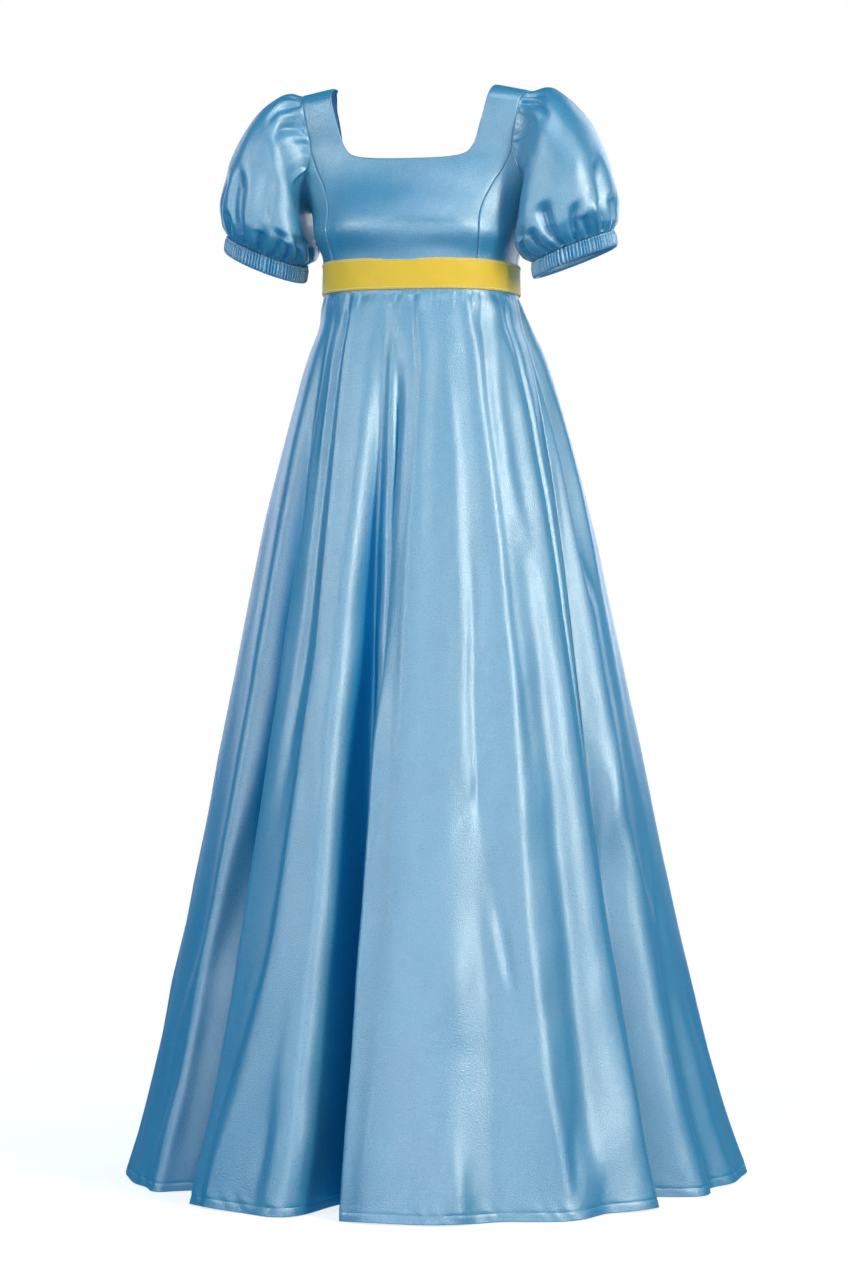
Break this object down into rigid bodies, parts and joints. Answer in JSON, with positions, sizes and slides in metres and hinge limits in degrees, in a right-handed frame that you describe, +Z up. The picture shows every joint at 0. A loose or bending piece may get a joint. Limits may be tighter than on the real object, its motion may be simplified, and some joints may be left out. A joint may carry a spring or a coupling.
{
  "type": "regency gown",
  "caption": "Floor-length satin gown, filled out and hollow, with a square neck, princess seams, puffed sleeves on elastic cuffs, a ribbon at the high waist and a folded skirt.",
  "frame": {"origin": "midway between the two shoulder seams, level with their tops, where the wearer holds the gown up", "axes": "+Z up along the gown's length, front towards -Y, the wearer's left towards +X"},
  "size_m": [0.8116, 0.8063, 1.4192],
  "materials": {
    "satin": "light blue polyester satin with a soft bright sheen",
    "cuff_satin": "light blue satin ruched over elastic",
    "ribbon": "yellow cotton-like ribbon, edge-stitched"
  },
  "bodies": {
    "root": {"bodice_front": "satin", "bodice_side_left": "satin", "bodice_side_right": "satin", "bodice_back_left": "satin", "bodice_back_right": "satin", "sleeve_left": "satin", "sleeve_right": "satin", "cuff_left": "cuff_satin", "cuff_right": "cuff_satin", "skirt_front": "satin", "skirt_back_left": "satin", "skirt_back_right": "satin", "ribbon": "ribbon"}
  },
  "joints": []
}
